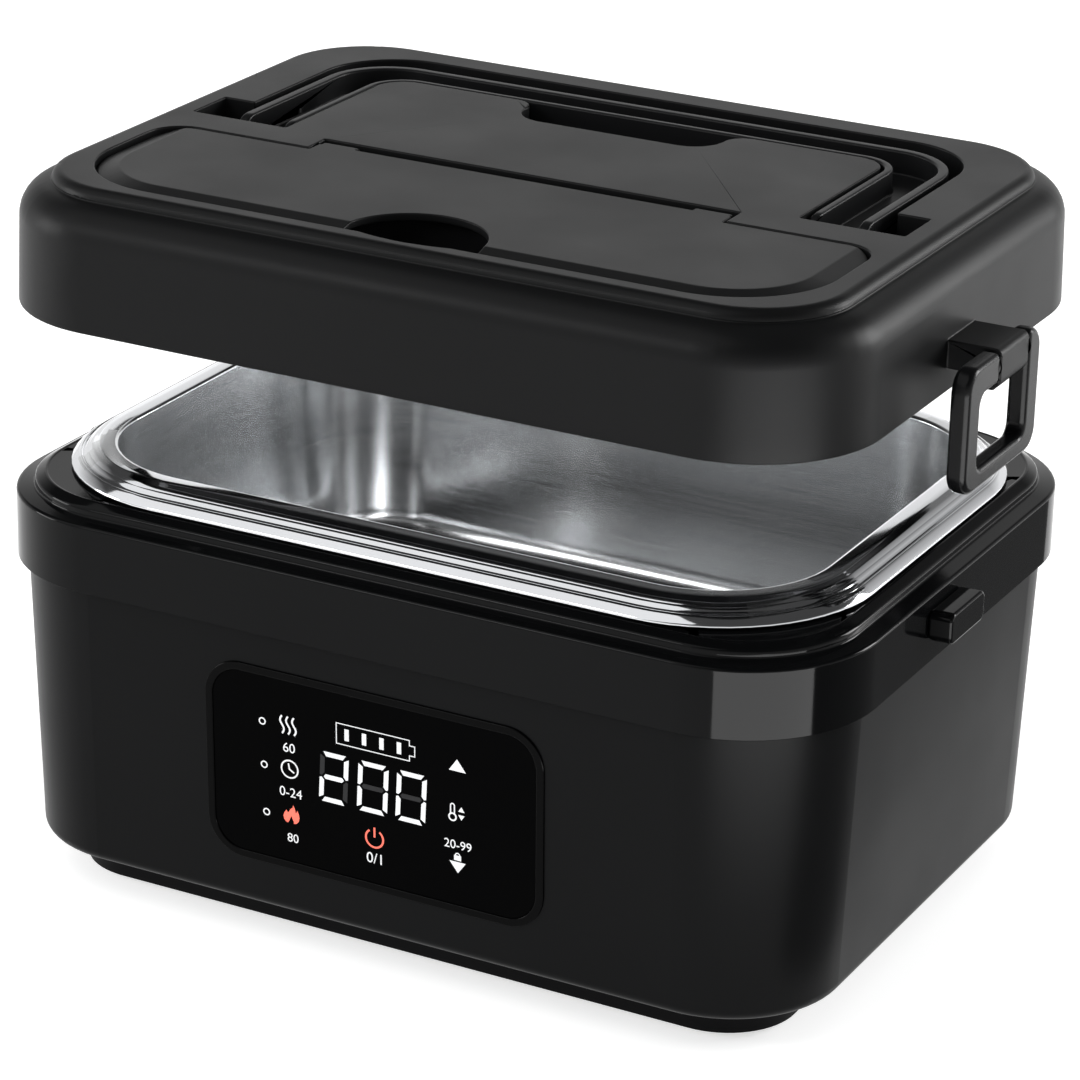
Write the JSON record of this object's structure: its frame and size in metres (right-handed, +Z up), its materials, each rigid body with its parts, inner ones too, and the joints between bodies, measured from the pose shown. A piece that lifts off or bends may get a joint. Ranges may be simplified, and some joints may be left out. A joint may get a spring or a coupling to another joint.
{
  "type": "electric lunch box",
  "caption": "Heated lunch box with a lift-out steel tray, a clamped lift-off lid, a folding carry handle, a cutlery hatch and two swinging side latches.",
  "frame": {"origin": "on the table, under the middle of the trim ring", "axes": "+Z up, -Y towards the control panel, +X along the long side towards the right latch"},
  "size_m": [0.264, 0.181, 0.1915],
  "materials": {
    "case_black": "fine satin moulded black",
    "plinth_black": "matte black",
    "trim_gloss": "polished black",
    "well_metal": "drawn, satin",
    "heater_metal": "pressed plate",
    "insulation": "needled wool",
    "inner_plastic": "moulded black",
    "battery_wrap": "shrink wrap",
    "circuit_board": "green solder mask",
    "panel_rim": "polished black",
    "panel_glass": "back-printed glossy black touch panel",
    "tray_steel": "satin inside, polished rolled rim",
    "lid_black": "fine matte black",
    "liner_metal": "smooth satin",
    "seal_rubber": "silicone",
    "tub_black": "matte black",
    "handle_black": "matte black",
    "latch_black": "satin black",
    "foot_rubber": "soft rubber",
    "pin_steel": "turned pin"
  },
  "bodies": {
    "base": {"outer_case": "case_black", "bottom_cover": "plinth_black", "trim_ring": "trim_gloss", "catch_right": "trim_gloss", "catch_left": "trim_gloss", "foot_front_right": "foot_rubber", "foot_front_left": "foot_rubber", "foot_rear_right": "foot_rubber", "foot_rear_left": "foot_rubber", "heater_well": "well_metal", "heating_plate": "heater_metal", "insulation_jacket": "insulation", "thermostat": "inner_plastic", "thermal_fuse": "heater_metal", "battery_pack": "battery_wrap", "control_board": "circuit_board", "display_board": "circuit_board", "panel_frame": "panel_rim", "panel_glass": "panel_glass", "charge_socket": "inner_plastic", "case_screw_fr": "pin_steel", "case_screw_fl": "pin_steel", "case_screw_rr": "pin_steel", "case_screw_rl": "pin_steel"},
    "tray": {"food_tray": "tray_steel"},
    "lid": {"lid_shell": "lid_black", "lid_liner": "liner_metal", "lid_seal": "seal_rubber", "cutlery_tub": "tub_black", "lid_screw_fr": "pin_steel", "lid_screw_fl": "pin_steel", "lid_screw_rr": "pin_steel", "lid_screw_rl": "pin_steel", "handle_pin_right": "pin_steel", "handle_pin_left": "pin_steel", "cover_pin": "pin_steel"},
    "handle": {"carry_handle": "handle_black"},
    "cover": {"cutlery_cover": "lid_black"},
    "latch_right": {"latch_loop_right": "latch_black", "latch_pin_right": "pin_steel"},
    "latch_left": {"latch_loop_left": "latch_black", "latch_pin_left": "pin_steel"}
  },
  "joints": [
    {"name": "tray_lift", "type": "slide", "parent": "base", "child": "tray", "axis": [0, 0, 1], "range_m": [0, 0.09]},
    {"name": "lid_lift", "type": "slide", "parent": "tray", "child": "lid", "axis": [0, 0, 1], "range_m": [-0.0497, 0.06]},
    {"name": "handle_fold", "type": "hinge", "parent": "lid", "child": "handle", "pos_m": [0, 0.001, 0.1853], "axis": [1, 0, 0], "range_deg": [0, 90]},
    {"name": "cover_hinge", "type": "hinge", "parent": "lid", "child": "cover", "pos_m": [0, -0.0132, 0.1894], "axis": [-1, 0, 0], "range_deg": [0, 88]},
    {"name": "latch_right_swing", "type": "hinge", "parent": "lid", "child": "latch_right", "pos_m": [0.1294, -0.012, 0.166], "axis": [0, -1, 0], "range_deg": [-9, 100]},
    {"name": "latch_left_swing", "type": "hinge", "parent": "lid", "child": "latch_left", "pos_m": [-0.1294, -0.012, 0.166], "axis": [0, 1, 0], "range_deg": [-9, 100]}
  ]
}
